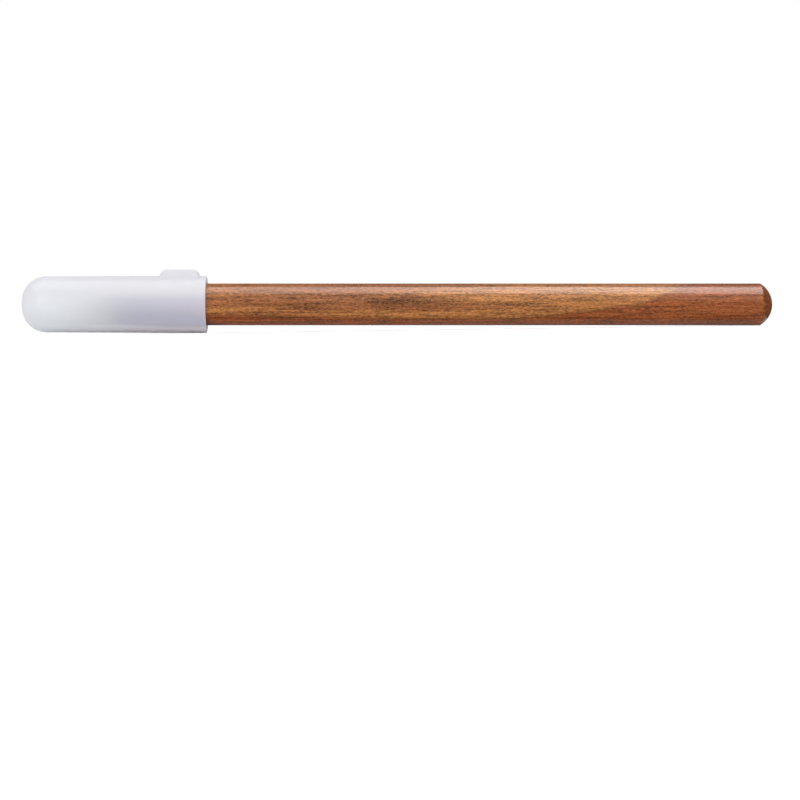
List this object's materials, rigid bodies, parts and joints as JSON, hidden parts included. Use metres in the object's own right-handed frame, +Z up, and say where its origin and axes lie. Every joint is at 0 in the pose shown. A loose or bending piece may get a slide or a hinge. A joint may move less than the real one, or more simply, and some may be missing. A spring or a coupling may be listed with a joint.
{
  "type": "inkless pencil",
  "caption": "Slim inkless pencil with a round lacquered wooden barrel, brass collar, screw-in black alloy nib and a translucent push-on cap with an anti-roll tab.",
  "frame": {"origin": "middle of the capped pencil's length, on its axis in plan, at the height of the cap's lowest line where it lies on a table with the anti-roll tab on top", "axes": "+X along the pencil towards the domed rear end of the barrel, so the nib and the cap's nose point to -X; +Z up through the anti-roll tab; +Y across"},
  "size_m": [0.1556, 0.0118, 0.0132],
  "materials": {
    "wood": "satin lacquer over open grain",
    "brass": "polished",
    "nib_alloy": "matt sintered",
    "frosted_plastic": "frosted translucent moulding"
  },
  "bodies": {
    "barrel": {"barrel": "wood", "socket_insert": "brass"},
    "collar": {"collar_ring": "brass"},
    "nib": {"nib": "nib_alloy", "nib_stud": "brass"},
    "cap": {"cap": "frosted_plastic"}
  },
  "joints": [
    {"name": "cap_pull", "type": "slide", "parent": "barrel", "child": "cap", "axis": [-1, 0, 0], "range_m": [0, 0.042]},
    {"name": "nib_advance", "type": "slide", "parent": "barrel", "child": "collar", "axis": [-1, 0, 0], "range_m": [0, 0.0035]},
    {"name": "nib_turn", "type": "hinge", "parent": "collar", "child": "nib", "pos_m": [-0.063, 0, 0.00593], "axis": [-1, 0, 0], "range_deg": [0, 2520]}
  ],
  "couplings": [
    {"joint": "nib_turn", "follows": "nib_advance", "rad_per_m": 12566}
  ]
}
